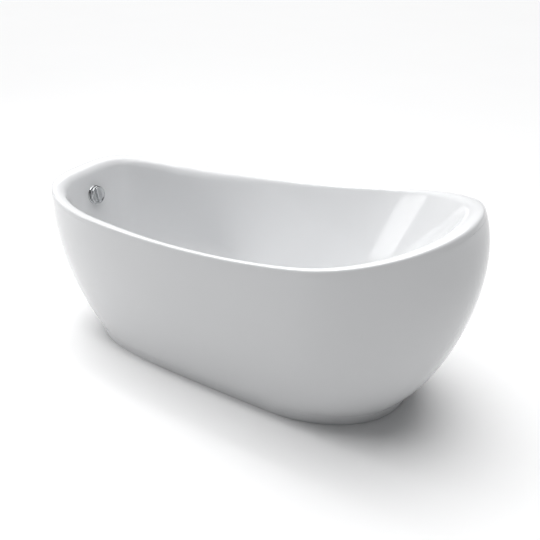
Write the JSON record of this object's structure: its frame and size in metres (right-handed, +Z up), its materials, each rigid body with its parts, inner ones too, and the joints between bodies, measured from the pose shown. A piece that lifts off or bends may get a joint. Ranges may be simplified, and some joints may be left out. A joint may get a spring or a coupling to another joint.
{
  "type": "freestanding bathtub",
  "caption": "Freestanding slipper bathtub with a raised head end, a tapering oval body on a low plinth, a rotary overflow control, a pop-up plug and hidden levelling feet.",
  "frame": {"origin": "on the floor, under the middle of the tub's overall length and width", "axes": "+X along the tub towards the raised head end, +Y across it, +Z up; the overflow and drain are at the low -X end"},
  "size_m": [1.7427, 0.7476, 0.776],
  "materials": {
    "acrylic": "polished glossy white",
    "adhesive": "cured adhesive, dull off-white",
    "board": "raw chipboard",
    "galvanised": "galvanised, dull spangle",
    "zinc": "bright zinc plating",
    "chrome": "mirror chrome",
    "rubber": "matt black",
    "plastic": "moulded grey, fine grain",
    "pvc": "flexible off-white hose"
  },
  "bodies": {
    "tub": {"basin": "acrylic", "outer_skirt": "acrylic", "rim_bond_bead": "adhesive", "base_board": "board", "rail_near": "galvanised", "rail_far": "galvanised", "cross_member_1": "galvanised", "cross_member_2": "galvanised", "cross_member_3": "galvanised", "skirt_bracket_1": "galvanised", "skirt_bracket_2": "galvanised", "skirt_bracket_3": "galvanised", "skirt_bracket_4": "galvanised", "rail_screw_1": "zinc", "rail_screw_2": "zinc", "rail_screw_3": "zinc", "rail_screw_4": "zinc", "rail_screw_5": "zinc", "rail_screw_6": "zinc", "bracket_screw_1": "zinc", "bracket_screw_2": "zinc", "bracket_screw_3": "zinc", "bracket_screw_4": "zinc", "foot_1_lock_nut": "zinc", "foot_2_lock_nut": "zinc", "foot_3_lock_nut": "zinc", "foot_4_lock_nut": "zinc", "drain_flange": "chrome", "overflow_bezel": "chrome", "drain_top_gasket": "rubber", "drain_under_gasket": "rubber", "overflow_gasket": "rubber", "control_cable": "rubber", "waste_body": "plastic", "tailpiece": "plastic", "tailpiece_nut": "plastic", "overflow_body": "plastic", "hose_nut_top": "plastic", "hose_nut_low": "plastic", "overflow_hose": "pvc"},
    "overflow_control": {"overflow_knob": "chrome", "overflow_spindle": "zinc", "cable_lever": "zinc"},
    "plug": {"drain_plug": "chrome", "plug_seal": "rubber", "lift_pin": "zinc"},
    "foot_1": {"foot_1_pad": "rubber", "foot_1_stud": "zinc"},
    "foot_2": {"foot_2_pad": "rubber", "foot_2_stud": "zinc"},
    "foot_3": {"foot_3_pad": "rubber", "foot_3_stud": "zinc"},
    "foot_4": {"foot_4_pad": "rubber", "foot_4_stud": "zinc"}
  },
  "joints": [
    {"name": "knob_turn", "type": "hinge", "parent": "tub", "child": "overflow_control", "pos_m": [-0.79339, 0, 0.503], "axis": [0.9918, 0, 0.1279], "range_deg": [0, 90]},
    {"name": "plug_lift", "type": "slide", "parent": "tub", "child": "plug", "axis": [0, 0, 1], "range_m": [0, 0.01]},
    {"name": "foot_1_adjust", "type": "slide", "parent": "tub", "child": "foot_1", "axis": [0, 0, -1], "range_m": [0, 0.012]},
    {"name": "foot_2_adjust", "type": "slide", "parent": "tub", "child": "foot_2", "axis": [0, 0, -1], "range_m": [0, 0.012]},
    {"name": "foot_3_adjust", "type": "slide", "parent": "tub", "child": "foot_3", "axis": [0, 0, -1], "range_m": [0, 0.012]},
    {"name": "foot_4_adjust", "type": "slide", "parent": "tub", "child": "foot_4", "axis": [0, 0, -1], "range_m": [0, 0.012]}
  ],
  "couplings": [
    {"joint": "plug_lift", "follows": "knob_turn", "m_per_rad": 0.006366}
  ]
}
